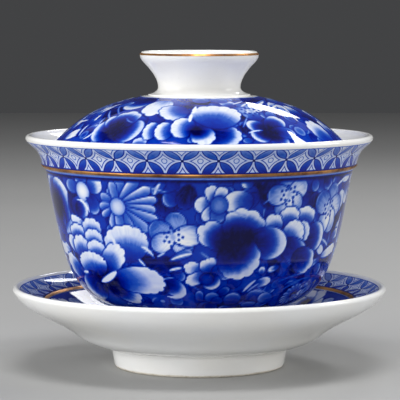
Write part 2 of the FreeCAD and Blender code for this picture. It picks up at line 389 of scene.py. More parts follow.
def stroke(sheet, deg, up, way, length, width, tone, bow=0.0):
    # a brush stroke that swells and thins out again, bowed to its left
    seen = window(sheet, deg, up, length + abs(bow) + 1)
    if seen is None:
        return
    x, y, patch = seen
    t = math.radians(way)
    a = (x * math.cos(t) + y * math.sin(t)) / length
    swell = 4 * np.clip(a, 0, 1) * (1 - np.clip(a, 0, 1))
    b = y * math.cos(t) - x * math.sin(t) - bow * swell
    cover = np.clip((width / 2 * swell ** 0.6 - abs(b)) / paint["soft"] + 0.5, 0, 1) * (swell > 0)
    below = sheet["tone"][patch]
    sheet["tone"][patch] = below + (tone - below) * cover


def stamens(sheet, deg, up, radius, count):
    tone = paint["stamenTone"]
    r = sheet["r"][np.argmin(abs(sheet["up"] - up))]
    for n in range(count):
        t = 2 * math.pi * n / count
        far = radius * (1 - 0.35 * (n % 2))
        aside = math.degrees(far * math.cos(t) / r)
        disc(sheet, deg + aside, up + far * math.sin(t), paint["stamen"], tone, tone, 0)


def flower(sheet, deg, up, size, petals, look, lobes, turned):
    # a whole flower with its eye
    for k in range(petals):
        petal(sheet, deg, up, turned + 360 * k / petals, size, size * paint["petalWidth"], look, lobes)
    if look == "plum":
        stamens(sheet, deg, up, paint["stamenReach"], 12)
    else:
        disc(sheet, deg, up, paint["eye"], 1.0, 1.0, 0, True)


def undergrowth(sheet, count, seed, low, high):
    # small dark leaves and petals that fill the ground between the flowers
    dice = np.random.default_rng(seed)
    for n in range(count):
        deg, up = dice.uniform(-90, 90), dice.uniform(low, high)
        look = ("dark", "dusk", "rich", "mild")[dice.choice(4, p=(0.22, 0.38, 0.26, 0.14))]
        petal(sheet, deg, up, dice.uniform(0, 360), dice.uniform(3.5, 6.5), dice.uniform(1.8, 4), look)
        if n % 3 == 0:
            stroke(sheet, deg, up, dice.uniform(0, 360), dice.uniform(2, 4), 0.5, 0.35, 0.5)


def addHemAndShade(sheet, layout):
    # the dark band along a print's last rows: the saucer print's own hem, and painted shade under the gilt
    # ledge on the bowl
    hemAndShade = np.clip((sheet["up"] - sheet["up"][-1] + layout["hemAndShade"]) / paint["soft"] + 0.5, 0, 1)[:, None]
    sheet["tone"] += (layout["hemAndShadeTone"] - sheet["tone"]) * hemAndShade


bowlPrint = {
    "ground": 0.67, "rows": 118,
    "fillers": ((170, 11, 6, 48), (70, 12, 2, 17)),      # how many, seed, and from and to which height
    "hemAndShade": 0.8, "hemAndShadeTone": 0.97,       # painted shade: a dark band on the belly under the overhanging gilt ledge
    "ledgeTone": 0.40,                 # what the gilt leaves bare
    # every row starts with degrees from the front and mm up from the foot
    # whole flowers at the sides: size, petals, look, scallops, turn
    "strewn": (
        (83, 24.5, 5.6, 5, "plum", 0, 40), (97, 25, 6.0, 5, "white", 3, 10), (84, 45, 5.0, 5, "pale", 3, 30),
        (90, 36, 8.8, 6, "deep", 4, 20), (91, 12.5, 8.8, 6, "pale", 5, 0),
    ),
    # petals and leaves: way, length, width, look, scallops
    "behind": (
        (-72, 39, 180, 10, 13, "deep"), (-71, 40, 118, 8, 8, "deep"), (-72, 39, -32, 12, 11, "deep"),
        (-73, 36, 35, 13, 13, "deep"), (-71, 39, -85, 8, 9, "rich"), (-66, 25, 176, 9, 4.5, "white", 3),
        (-70, 28, 160, 7, 4, "rich"), (-70, 20, 190, 8, 4, "mild"), (-66, 31, 170, 6, 4, "dusk"),
        (-76, 14, 150, 8, 5, "mild"), (-54, 46, -100, 11, 5, "dark"), (-50, 44, 172, 6, 4, "mild"),
        (-48, 45, 95, 3, 5, "pale", 3), (-45, 44, 22, 6, 5, "pale"), (-45, 42.5, -68, 6, 5, "rich"),
        (-57, 38.5, 0, 8.5, 6, "rich"), (-54, 38.2, -8, 5.5, 5, "deep"),
        (-50, 33.8, 168, 6.8, 2.6, "white", 2), (-22, 43, -15, 7, 4, "dark"), (-12, 44, -95, 7, 5, "dark"),
        (-7, 43, 200, 5, 4.5, "rich"), (-7, 46, 190, 7, 3, "dusk"), (-3, 46, -110, 7, 5, "dark"),
        (-12, 46.5, 215, 5, 2, "mild"), (1, 47.5, 150, 3, 2, "pale"), (8, 47.5, 190, 4, 2, "pale"),
        (4, 37.5, 200, 4, 4, "dusk"), (22, 43, 130, 6, 5, "dark"), (22, 43, 175, 5, 5, "rich"),
        (22, 43, 215, 6, 4, "dusk"), (23, 43, -28, 6, 5, "dark"), (23, 43.5, 30, 7, 5, "dark"),
        (19.5, 46, 165, 3.6, 3, "pale"), (46, 42, 190, 7, 5, "rich"), (46, 43, 100, 5, 5, "dusk"),
        (48, 38, 80, 5, 5, "dark"), (53, 47.4, -90, 5, 8.5, "rich", 6), (53, 47.4, -55, 5, 4, "deep", 3),
        (46, 46.5, -60, 3.6, 3, "mild"), (66, 46, 185, 6, 3.5, "rich"), (66, 45.5, 5, 7, 2.5, "white", 2),
        (70, 41, -60, 9, 6, "dark"), (64, 36.5, 42, 8, 6, "pale", 3), (67, 35, -70, 7, 6, "dark"),
        (70, 33, -50, 4, 3, "white"), (66, 29, 10, 6, 3, "pale"), (63, 30, 200, 5, 4, "rich"),
        (76, 38, -80, 12, 6, "rich"), (66, 27, -80, 9, 9, "dark"), (73, 24, -90, 8, 5, "dusk"),
        (55, 27, -30, 4.5, 2.8, "white"), (60, 23.6, 12, 10, 3.4, "white", 3), (60, 23, 200, 5, 2, "pale"),
        (56, 19, 10, 5, 4, "rich"), (74, 45, -80, 7, 4, "pale"),
    ),
    "daisies": (
        # petals as (way, length, width)
        (-31.6, 39.4, (
            (118, 5.8, 2.4), (148, 6.4, 2.7), (180, 6.3, 2.4), (206, 6.3, 2.1), (248, 6.6, 3.2),
            (78, 8.6, 3.6), (50, 11.0, 3.2), (28, 12.0, 2.9), (12, 12.4, 2.4), (-2, 11.6, 2.4),
            (-16, 12.4, 2.6), (-36, 11.0, 3.0), (-60, 7.6, 3.2), (-88, 6.2, 2.8), (100, 7.4, 2.6))),
        (50, 11.5, tuple((way, 4.2, 1.4) for way in range(0, 360, 24))),
    ),
    "plums": (
        (-10, 31.3, ((78, 7.2, 6.2), (156, 7.2, 6.2), (-42, 6.4, 5.8), (208, 6.8, 5.4), (6, 8.4, 6.0))),
        (34.5, 42.7, ((98, 6.8, 5.8), (25, 6.8, 5.8), (-42, 6.0, 5.2), (-112, 6.6, 5.6), (178, 6.8, 5.8))),
        (58.5, 37.6, ((72, 7.6, 6.6), (8, 7.6, 6.6), (-62, 7.6, 6.6), (-112, 7.6, 6.0), (148, 7.6, 6.6))),
    ),
    "front": (
        # ball flower and the round petal beside it
        (7, 40.5, 180, 6.6, 5, "pale"), (7, 40.5, 118, 6.2, 4.2, "pale", 2),
        (7, 40.5, 76, 5.4, 3.8, "pale", 2), (7, 40.5, 226, 6, 3.6, "pale"), (7, 40, 268, 4.6, 4.2, "mild"),
        (20, 41.4, 183, 8.4, 6.6, "pale"),
        # dark leaf, bud and small flower low in the middle
        (-24, 24.2, -8, 10, 5, "dark"), (-14, 25, -35, 6, 3, "dark"), (-12, 24.4, 25, 7, 2.2, "mild"),
        (-16, 19, -42, 8, 5.6, "deep"), (-13.5, 16.5, 200, 4, 4, "dark"),
        (4, 20.6, 160, 7.4, 4.4, "pale", 3), (4, 20.6, 204, 7, 4, "pale", 3),
        (5, 20.6, 95, 5, 6.4, "pale", 3), (5, 21, 4, 6.6, 5.4, "pale", 4), (3, 20.6, -62, 5.4, 5, "deep"),
        # round petals and leaf tips low on the right
        (15.4, 9, 90, 5.2, 4.8, "rich"), (25.4, 10, 80, 5, 5.2, "rich"), (25, 7.6, 90, 2.6, 4.4, "mild"),
        (37, 9.4, 142, 6, 4, "mild"), (7, 9.8, 60, 3, 3, "dusk"), (24, 16.8, 14, 5.2, 3, "pale"),
        (34.5, 22, 196, 3.6, 1.8, "pale"), (26.5, 19.8, 90, 2.6, 2, "pale"), (42, 18, 200, 6, 3, "dusk"),
        (62, 12, 180, 5, 2.4, "pale"), (66, 14, 200, 6, 3, "mild"),
        # heaped flower on the right
        (44, 33.6, 84, 5.6, 8, "pale", 3), (36, 33.2, 88, 6.2, 7, "pale", 4),
        (30.5, 31.4, 112, 6.4, 6.6, "pale", 3), (34, 30.6, -36, 12.4, 8.6, "deep"),
        (45, 29.4, 6, 9.2, 8.6, "deep"), (40, 30.6, 22, 6, 6.4, "pale", 5),
        (35, 28.2, 46, 8.4, 8.2, "pale", 6), (33, 29, -24, 11.4, 6.8, "deep"),
        (40.5, 25, -20, 10.4, 8, "deep", 3),
        # great dark flower in the middle
        (14, 29.2, 156, 11.6, 8, "deep", 3), (15.6, 29, 78, 10.6, 12.4, "deep", 4),
        (18, 29.6, -4, 13, 9.4, "deep"), (10.5, 30, -54, 12.6, 12.6, "deep", 5),
        # heaped flower low on the left, from its top petals down to its skirt
        (-46, 29.4, 93, 6.4, 8, "pale", 4), (-56, 28.8, 95, 4.8, 7.6, "pale", 3),
        (-57, 25, 142, 7, 4.6, "pale", 2), (-46, 26.4, 90, 6.2, 7.6, "pale", 4),
        (-55, 23.4, 95, 7, 8, "pale", 4), (-45.5, 23.2, 90, 6.2, 7.8, "pale", 3),
        (-29, 23.6, 97, 10.8, 14.6, "pale", 6), (-43, 20.5, 44, 11, 7, "pale", 4),
        (-60, 17.6, 150, 10, 7.6, "pale", 4), (-50, 18.2, 92, 7.6, 12.4, "pale", 9),
        (-47, 18, 216, 12.4, 9.6, "deep"), (-44, 17, -36, 11.4, 8.2, "deep", 2),
        (-39.5, 17.6, 2, 16.4, 9, "pale", 6),
    ),
    "hearts": ((13, 29.4, 4.6), (-42, 16.6, 4.4), (-70, 37.5, 5.0), (19, 31, 2.4)),
    "balls": ((-31.6, 39.4, 2.5, 0.16, 0.40), (-48, 43.2, 2.8, 0.06, 0.36), (7.2, 40.4, 2.4, 0.42, 0.66),
              (3, 18.9, 1.9, 0.72, 0.92), (-17.6, 10.8, 0.8, 0.3, 0.5)),
    "strokes": (
        (-52.5, 40.6, -35, 6, 0.9, 0.06, 1.2), (-46.8, 41.6, -60, 3.4, 1.4, 0.8, 0.8),
        (-37.5, 31.2, -62, 4, 0.9, 0.08, 0.6), (-23.4, 28.4, -38, 4.6, 0.9, 0.10, 0.5),
        (-22, 27, -34, 3.4, 0.5, 0.25, 0.4), (-25, 24.8, -50, 3, 0.8, 0.12),
        (-12.5, 21.4, 14, 4, 0.9, 0.10, 0.2), (-11.5, 24.6, 18, 6.6, 0.8, 0.08, 0.3),
        (-17, 25.4, 30, 3, 0.7, 0.2), (-15, 13, 12, 6, 1.2, 0.10, -1.0), (-16, 18.4, 10, 4, 0.4, 0.2, 0.4),
        (-59.5, 18.8, 8, 3, 1.0, 0.08), (19.5, 14.2, 50, 5.4, 0.9, 0.15, 0.3),
        (21.5, 14.2, 42, 4.4, 0.6, 0.3, 0.2), (-48, 16.4, 28, 8.6, 1.9, 0.05, -0.3),
        (12, 39, -30, 5, 0.6, 0.3), (24, 40.4, 24, 6, 0.5, 0.35, 0.4), (-16.5, 43, 60, 5, 0.8, 0.12, 0.2),
        (-19, 45.5, -15, 6, 0.5, 0.3), (57, 29, -28, 6, 0.7, 0.15, 0.3), (0.6, 27, -38, 3.4, 0.8, 0.4),
        (40, 14, 20, 7, 0.5, 0.5, 0.4), (36, 17, 12, 9, 0.5, 0.55, 0.5), (44, 16, 10, 8, 0.5, 0.5, 0.3),
        (62, 44, 20, 6, 0.9, 0.1, 0.2), (72, 30, 80, 6, 0.9, 0.1), (33, 13.5, 150, 5, 0.6, 0.4, 0.4),
    ),
}


def paintPrint(sheet, layout):
    for row in layout["strewn"]:
        flower(sheet, *row)
    for row in layout["behind"]:
        petal(sheet, *row)
    for deg, up, petals in layout["daisies"]:
        for row in petals:
            petal(sheet, deg, up, *row, "ray")
    for deg, up, petals in layout["plums"]:
        for row in petals:
            petal(sheet, deg, up, *row, "plum")
        disc(sheet, deg, up, 1.2, 0.30, 0.12, 0, True)
        stamens(sheet, deg, up, 2.7, 14)
    for row in layout["front"]:
        petal(sheet, *row)
    for deg, up, radius in layout["hearts"]:
        disc(sheet, deg, up, radius, 1.0, 1.0, 0, True)
    for row in layout["balls"]:
        disc(sheet, *row)
    for row in layout["strokes"]:
        stroke(sheet, *row)


bowlLip = (bowl["rimR"] - bowl["lipT"] / 2, bowl["standZ"] + bowl["rimH"])
bowlLedge = (bowl["ledgeR"], bowl["standZ"] + bowl["ledgeH"])
bowlWaist = (bowlLedge[0] - bowl["ledgeW"], bowlLedge[1] - bowl["ledgeW"])


def onBowl(station):
    return (station[0], bowl["standZ"] + station[1], station[2])


def makeBowl():
    belly = [
        (bowl["footWide"] + bowl["footShelf"], bowl["baseZ"], 0),
        onBowl(bowl["turn"]), onBowl(bowl["belly"]),
        (bowlWaist[0], bowlWaist[1] - bowl["waistLip"], bowl["waistSlope"]),
    ]
    border = [
        (*bowlLedge, 90),
        (bowl["ledgeR"] + bowl["swell"], (bowlLedge[1] + bowlLip[1]) / 2, bowl["borderSlope"]),
        (*shifted(bowlLip, bowl["lipT"] / 2, bowl["flareSlope"] - 90), bowl["flareSlope"]),
    ]
    inner = [
        (bowl["footBaseR"], bowl["baseZ"] + bowl["floorT"], 0), inset(belly[1], bowl["wall"]),
        inset(belly[2], bowl["wall"]),
        (bowlWaist[0] - bowl["wall"], bowlWaist[1] - bowl["waistInnerDrop"], bowl["waistInnerSlope"]),
        inset(border[1], bowl["wall"]), inset(border[2], bowl["lipT"]),
    ]
    bellyPath = evenly(smoothPath(belly, outlines["traceSteps"]), bowlPrint["rows"])
    sheet = newSheet(bellyPath, bowlPrint["ground"])
    for row in bowlPrint["fillers"]:
        undergrowth(sheet, *row)
    paintPrint(sheet, bowlPrint)
    # painted shade: darkens the top of the belly under the gilt ledge, where its shadow falls
    addHemAndShade(sheet, bowlPrint)
    floorRing = [bowl["footWide"] - bowlPrint["hemAndShade"], bowl["baseZ"]]
    floorPath = np.array([[0, bowl["baseZ"]], floorRing, belly[0][:2]])
    ledgePath = np.array([bellyPath[-1], bowlWaist, bowlLedge])
    lip = roundPath(bowlLip, bowl["lipT"] / 2, bowl["flareSlope"], bowl["flareSlope"] + 180)
    innerPath = np.concatenate([smoothPath(reverse(inner)), [[0, inner[0][1]]]])
    return turnedShell("bowlShell", [
        {"path": floorPath},
        {"path": bellyPath, "sheet": sheet},
        {"path": ledgePath, "tone": bowlPrint["ledgeTone"]},
        {"path": evenly(smoothPath(border), outlines["borderRows"]), "border": True},
        {"path": lip},
        {"path": innerPath},
    ])


lidPrint = {
    "ground": 0.68, "rows": 100,
    "fillers": (100, 5, 1),      # how many, seed, and from which height
    "margin": 2.2,               # bare glaze left round the crown
    "strewn": (
        (88, 24, 5.2, 5, "pale", 3, 0), (90, 11, 8.0, 6, "deep", 3, 10), (99, 19, 4.6, 5, "plum", 0, 25),
    ),
    "behind": (
        (-72, 5, 25, 7, 4, "white", 3), (-79, 8, 60, 5, 4, "pale", 3), (-79, 16, 80, 5, 3, "mild"),
        (-69, 14, 90, 7, 3.4, "pale", 3), (-62, 6, 70, 7, 4.5, "rich"), (-66, 10, 40, 5, 4, "rich"),
        (-56, 7, 80, 4.5, 4, "deep"), (-60, 11, 40, 5, 3, "mild"), (-52, 13, 120, 11, 4.5, "dark"),
        (-52, 16, 100, 8, 4, "dark"), (-70, 24, 20, 8, 3.5, "dusk"), (-60, 27, 10, 8, 3, "rich"),
        (-47, 30, -92, 10.4, 8.4, "deep"), (-62, 20, 60, 6, 3, "mild"), (-26, 12.5, 152, 6, 4.4, "rich"),
        (-19, 16, 95, 4, 3.6, "dusk"), (-24, 3, 95, 4, 4.4, "pale", 3), (22, 15, 60, 5, 4, "dark"),
        (20, 12, -60, 6, 4, "dark"), (22, 6, 190, 3, 2, "mild"), (30, 14, 92, 6.4, 6.4, "pale"),
        (46, 16.6, 186, 6.6, 4.6, "rich"), (38, 14, 60, 5, 3.5, "mild"), (28, 21, 40, 6, 4, "mild"),
        (22, 22, 100, 6, 5, "pale", 3), (36, 19, 70, 6, 4, "pale"), (14, 26, 80, 5, 6, "mild", 4),
        (2, 26, 95, 5, 5, "mild", 4), (46, 20, 30, 8, 3, "pale"), (38, 24, 20, 9, 3, "dusk"),
        (44, 27, 10, 9, 2.6, "dark"), (60, 15, 85, 8, 3.4, "pale"), (54, 13, 80, 6, 2.6, "pale"),
        (66, 15, 80, 7, 3, "pale", 2), (70, 10, 80, 7, 4, "dark"), (75, 5, 85, 7, 3, "pale"),
        (48, 8.6, 120, 3, 3, "rich"), (52, 12, 110, 4, 3, "mild"), (72, 22, 60, 7, 4, "mild"),
        (64, 24, 30, 7, 3, "mild"),
    ),
    "daisies": (),
    "plums": (
        (31, 19.5, ((30, 5.4, 4.4), (100, 5.4, 4.4), (170, 5.4, 4.4))),
        (52, 16.5, ((60, 4.6, 4), (130, 4.6, 4))),
    ),
    "front": (
        # white petals near the crown
        (-27.5, 28, -90, 11.6, 8.4, "white", 3), (-7, 21, 208, 8.4, 9.4, "pale", 5),
        # flower with the near-black heart
        (-39.5, 10, 238, 9, 7, "deep"), (-39.5, 10, 300, 9, 7, "deep"), (-39.5, 9.5, 186, 8.6, 9, "deep"),
        (-39.5, 10, 140, 8, 5.4, "deep"), (-39, 9.4, 2, 8.4, 9.4, "deep"),
        (-39.6, 9.6, 88, 9.4, 9, "deep", 3),
        # heaped flower at the front
        (-18, 9.6, 178, 4.6, 7.4, "pale", 5), (-11, 9.6, 178, 5.6, 7.6, "pale", 5),
        (-2, 10.6, 168, 6.8, 9, "pale", 5), (3, 9.6, -18, 10.4, 8, "deep", 5),
        (0.5, 11.6, -80, 7.6, 7, "pale", 4), (6, 10.8, 76, 13, 14.4, "pale", 6),
        # flower on the right
        (32, 9.6, -70, 8, 6, "deep"), (31.5, 9.4, 208, 6.6, 5.6, "deep"), (32, 9.4, 148, 6.6, 5.6, "deep"),
        (32, 9.4, 40, 8.8, 6.6, "deep", 2), (33, 9.2, -12, 8, 4.6, "rich"),
        (64, 2.4, 90, 10.4, 9.4, "pale", 4),
    ),
    "hearts": ((-39.5, 9.4, 3.8), (-1, 9.6, 2.6), (32, 8.6, 3.2)),
    "balls": ((49, 8.6, 1.9, 0.6, 0.3), (-57, 6.8, 1.6, 0.8, 0.3)),
    "strokes": (
        (-4.6, 13.6, 88, 4.4, 1.1, 0.03), (-3.4, 18.4, 84, 5, 1.0, 0.05),
        (-48, 13.6, 142, 8, 0.6, 0.2, 0.4), (-46, 16.4, 140, 9, 0.5, 0.25, 0.4),
        (-52, 10, 110, 5, 0.6, 0.2, 0.3), (-61, 12.8, 110, 3.4, 1.0, 0.08),
        (-60, 6, 100, 5, 0.9, 0.15, 0.6), (-55, 5, 60, 4, 0.8, 0.1, -0.6), (-66, 17, 90, 5, 0.9, 0.15),
        (20, 11, 60, 6, 0.5, 0.3), (21, 8.6, 12, 5, 0.6, 0.1, 0.3), (40, 22, 32, 8, 1.0, 0.05, 0.3),
        (46, 19, 30, 7, 1.0, 0.05, 0.3), (50, 22, 34, 6, 0.8, 0.1, 0.3), (44, 24.6, 20, 8, 0.5, 0.3, 0.3),
        (58, 17, 60, 6, 0.8, 0.05), (55, 12.6, 80, 4, 0.9, 0.05), (28, 22.6, 40, 4, 0.8, 0.1),
        (24, 24.6, 30, 5, 0.8, 0.1), (33, 22.4, 50, 4, 0.8, 0.05), (-33, 13, 150, 4, 0.4, 0.2, 0.4),
        (-70, 20, 60, 4, 1.0, 0.15), (-76, 11, 20, 5, 0.9, 0.1, 0.3),
    ),
}


def makeLid():
    edge = (lid["edgeR"], lid["edgeZ"])
    half = lid["edgeT"] / 2
    outer = [
        (*shifted(edge, half, lid["skirtSlope"] - 90), lid["skirtSlope"]), lid["turn"],
        (lid["crownR"], lid["crownZ"], lid["crownSlope"]),
    ]
    inner = [
        (*shifted(edge, half, lid["underSlope"] + 90), lid["underSlope"]), inset(lid["turn"], lid["wall"]),
        (lid["crownR"], lid["crownZ"] - lid["wall"], lid["crownSlope"]),
    ]
    outerPath = evenly(smoothPath(outer, outlines["traceSteps"]), lidPrint["rows"])
    sheet = newSheet(outerPath, lidPrint["ground"])
    length = sheet["up"][-1]
    undergrowth(sheet, *lidPrint["fillers"], length)
    paintPrint(sheet, lidPrint)
    bare = np.clip((sheet["up"] - (length - lidPrint["margin"])) / paint["soft"], 0, 1)
    sheet["tone"] *= (1 - bare)[:, None]
    under = np.concatenate([[[0, lid["crownZ"] - lid["wall"]]], smoothPath(reverse(inner))])
    edgePath = roundPath(edge, half, lid["underSlope"] - 180, lid["skirtSlope"])
    return turnedShell("lidShell", [
        {"path": under},
        {"path": edgePath},
        {"path": outerPath, "sheet": sheet},
        {"path": np.array([outerPath[-1], [0, lid["crownZ"]]])},
    ])


saucerPrint = {
    "ground": 0.68, "rows": 56, "flowers": 16, "seed": 23,
    "fillers": (60, 23, 0),
    "hemAndShade": 0.7, "hemAndShadeTone": 0.90,       # dark line round the bare middle
}


def scatterFlowers(sheet, layout):
    # whole flowers strewn round the well
    dice = np.random.default_rng(layout["seed"])
    count = layout["flowers"]
    for n in range(count):
        deg = -90 + 180 * (n + dice.uniform(-0.25, 0.25)) / count
        up = sheet["up"][-1] * (0.30, 0.66, 0.48)[n % 3] + dice.uniform(-1, 1)
        look = ("pale", "deep", "plum", "white")[n % 4]
        flower(sheet, deg, up, dice.uniform(6.5, 9.0), 5 + n % 2, look, (0, 4, 0, 3)[n % 4], 23 * n)


def makeSaucer():
    lip = (saucer["rimR"] - saucer["lipT"] / 2, saucer["rimZ"])
    half = saucer["lipT"] / 2
    under = [
        (saucer["footWide"] + saucer["footShelf"], saucer["footTop"], 0),
        saucer["shoulder"], saucer["flange"],
        (*shifted(lip, half, saucer["lipSlope"] - 90), saucer["lipSlope"]),
    ]
    inwards = saucer["borderTopSlope"] + 180
    borderTop = (*shifted(lip, half, saucer["borderTopSlope"] + 90), inwards)
    ledge = (saucer["ledgeR"], saucer["ledgeZ"])
    ledgeIn = (ledge[0] - saucer["ledgeW"], ledge[1] - saucer["ledgeD"])
    ledgeFoot = (ledgeIn[0], ledgeIn[1] - saucer["riser"])
    well = [(*ledgeFoot, saucer["wellSlope"] + 180), (saucer["wellR"], saucer["wellZ"], 180)]
    wellPath = evenly(smoothPath(well, outlines["traceSteps"]), saucerPrint["rows"])
    sheet = newSheet(wellPath, saucerPrint["ground"])
    undergrowth(sheet, *saucerPrint["fillers"], sheet["up"][-1])
    scatterFlowers(sheet, saucerPrint)
    addHemAndShade(sheet, saucerPrint)
    centre = [[saucer["wellR"], saucer["wellZ"]], [saucer["wellR"] - paint["soft"], saucer["wellZ"]],
              [0, saucer["wellZ"]]]
    border = smoothPath([borderTop, (*ledge, saucer["borderSlope"] + 180)])
    return turnedShell("saucerShell", [
        {"path": np.concatenate([[[0, saucer["footTop"]]], smoothPath(under)])},
        {"path": roundPath(lip, half, saucer["lipSlope"], inwards)},
        {"path": evenly(border, outlines["borderRows"]), "border": True},
        {"path": np.array([ledge, ledgeIn, ledgeFoot])},
        {"path": wellPath, "sheet": sheet},
        {"path": np.array(centre)},
    ])


def mathsMethod(operation, swapped=False):
    def method(self, *others):
        values = (*others, self) if swapped else (self, *others)
        return self.net.add("ShaderNodeMath", {"operation": operation}, dict(enumerate(values)))
    return method


class Wire:
    # one socket of a node tree; plain arithmetic on it adds Math nodes
    __add__ = __radd__ = mathsMethod("ADD")
    __sub__ = mathsMethod("SUBTRACT")
    __rsub__ = mathsMethod("SUBTRACT", swapped=True)
    __mul__ = __rmul__ = mathsMethod("MULTIPLY")
    __truediv__ = mathsMethod("DIVIDE")
    __pow__ = mathsMethod("POWER")
    __lt__ = mathsMethod("LESS_THAN")
    __gt__ = mathsMethod("GREATER_THAN")
    __abs__ = mathsMethod("ABSOLUTE")
    least = mathsMethod("MINIMUM")
    most = mathsMethod("MAXIMUM")
    wrapped = mathsMethod("FRACT")
    sine = mathsMethod("SINE")
    root = mathsMethod("SQRT")

    def __init__(self, net, socket):
        self.net = net
        self.socket = socket

    def step(self, low, high):
        # 0 below low, 1 above high, smooth between
        return self.net.add("ShaderNodeMapRange", {"interpolation_type": "SMOOTHSTEP"},
                            {0: self, 1: low, 2: high, 3: 0.0, 4: 1.0})


class Net:
    # a node tree, and the one way that nodes are added to it
    def __init__(self, tree):
        self.tree = tree

    def add(self, kind, settings=None, values=None, output=0):
        node = self.tree.nodes.new(kind)
        for name, value in (settings or {}).items():
            if name == "stops":
                elements = node.color_ramp.elements
                while len(elements) < len(value):
                    elements.new(0.5)
                for element, (position, colour) in zip(elements, value):
                    element.position = position
                    element.color = (*colour, 1)
            else:
                setattr(node, name, value)
        for key, value in (values or {}).items():
            if isinstance(value, Wire):
                self.tree.links.new(value.socket, node.inputs[key])
            else:
                node.inputs[key].default_value = value
        return Wire(self, node.outputs[output]) if node.outputs else None

    def split(self, vector):
        # its three components
        parts = self.add("ShaderNodeSeparateXYZ", None, {0: vector}).socket.node
        return [Wire(self, part) for part in parts.outputs]


def ink(red, green, blue):
    # a colour picked on screen, from 0 to 255, as the light that it stands for
    shares = (red / 255, green / 255, blue / 255)
    return tuple(c / 12.92 if c < 0.04 else ((c + 0.055) / 1.055) ** 2.4 for c in shares)


class Surface(Net):
    # the tree of a new material; where is the place of each point on its piece
    def __init__(self, name):
        self.material = bpy.data.materials.new(name)
        self.material.use_nodes = True
        super().__init__(self.material.node_tree)
        self.tree.nodes.clear()
        self.where = self.add("ShaderNodeTexCoord", output=3)

    def noise(self, scale, detail=2.0, roughness=0.5):
        return self.add("ShaderNodeTexNoise", None, {
            "Vector": self.where, "Scale": scale, "Detail": detail, "Roughness": roughness})

    def mix(self, factor, first, second):
        rgba = [value if isinstance(value, Wire) else (*value, 1) for value in (first, second)]
        return self.add("ShaderNodeMix", {"data_type": "RGBA"}, {0: factor, 6: rgba[0], 7: rgba[1]}, 2)

    def bump(self, strength, distance, height):
        return self.add("ShaderNodeBump", None, {
            "Strength": strength, "Distance": distance, "Height": height})

    def finish(self, values):
        shader = self.add("ShaderNodeBsdfPrincipled", None, values)
        self.add("ShaderNodeOutputMaterial", None, {"Surface": shader})
        return self.material


glaze = {
    "bare": ink(240, 240, 238),
    "stops": (
        (0.00, ink(240, 241, 241)), (0.05, ink(225, 231, 241)), (0.16, ink(190, 203, 234)),
        (0.34, ink(118, 147, 215)), (0.52, ink(40, 89, 187)), (0.70, ink(0, 50, 168)),
        (0.86, ink(0, 22, 136)), (1.00, ink(0, 0, 60)),
    ),
    "roughness": 0.025,
    "index": 1.33,
    "mottle": 0.06,            # unevenness of the cobalt
}

lattice = {
    "repeats": 30, "turned": -0.033,      # of one repeat
    "middle": 0.48, "squeeze": 1.84,      # of the border's height
    "leaf": 0.960, "leafLine": 0.07, "band": 1.065, "bandLine": 0.055,
    "dot": 0.40, "ring": 0.72, "ringLine": 0.22,
    "wash": 0.79, "pale": 0.13, "leafLineTone": 0.96, "bandLineTone": 0.72, "bandTone": 0.20,
    "dotTone": 0.97, "ringTone": 0.46, "hemAndShadeTone": 0.93, "topTone": 0.5,
}


def latticePigment(net, height, radius, flipped):
    # circles overlap so that four leaves meet at each dot and leave a hollow diamond between them
    across, along, _ = net.split(net.add("ShaderNodeUVMap", {"uv_map": "wrap"}))
    up = height - along if flipped else along
    half = math.pi * radius / lattice["repeats"]                   # mm from a dot to a diamond's middle
    share = (across * lattice["repeats"] + lattice["turned"] + 0.5).wrapped()
    cross = abs(share - 0.5) * 2                                   # 0 at a diamond, 1 at a dot
    level = (up / height - lattice["middle"]) * lattice["squeeze"]
    rise = abs(level).least(1.2)
    ownCircle = (cross * cross + rise * rise).root()
    nextCircle = ((1 - cross) * (1 - cross) + (1 - rise) * (1 - rise)).root()
    edge = ownCircle.most(nextCircle)
    leaf = 1 - edge.step(lattice["leaf"] - 0.02, lattice["leaf"] + 0.02)
    leafLine = (edge + lattice["leafLine"]).step(lattice["leaf"] - 0.03, lattice["leaf"] + 0.03) * leaf
    lineFar = abs(edge - lattice["band"] - lattice["bandLine"] / 2)
    line = 1 - lineFar.step(lattice["bandLine"] * 0.35, lattice["bandLine"] * 0.75)
    depth = up / height                                            # the wash is heavier towards the gilt
    wash = lattice["wash"] - depth * 0.36 + (0.24 - depth).most(0.0) * 0.8 - (edge * 9).sine() * 0.05
    tone = leaf * wash
    tone = tone.most(leafLine * (lattice["leafLineTone"] - depth * 0.16))
    tone = tone.most(line * (lattice["bandLineTone"] - depth * 0.22))
    band = (1 - edge.step(lattice["band"] - 0.02, lattice["band"] + 0.02)) * lattice["bandTone"]
    tone = tone.most(band).most(lattice["pale"] + (1 - depth) * 0.06)

    def away(aside):
        # mm from a spot on the middle line
        return (aside * aside + (level * height * 0.48) ** 2).root()

    dot = 1 - away((1 - cross) * half).step(lattice["dot"] - 0.06, lattice["dot"] + 0.10)
    ringFar = abs(away(cross * half) - lattice["ring"])
    ring = 1 - ringFar.step(lattice["ringLine"] * 0.4, lattice["ringLine"])
    tone = tone.most(dot * lattice["dotTone"]).most(ring * lattice["ringTone"])
    tone = tone.most((1 - up.step(0.45, 0.95)) * lattice["hemAndShadeTone"])
    top = (up - (height - 0.45)).step(-0.10, 0.10)
    topLine = 1 - abs(up - (height - 0.62)).step(0.08, 0.24)
    tone = tone.most(topLine * lattice["topTone"]) * (1 - top)
    return tone * (along > 0.0) * (along < height)


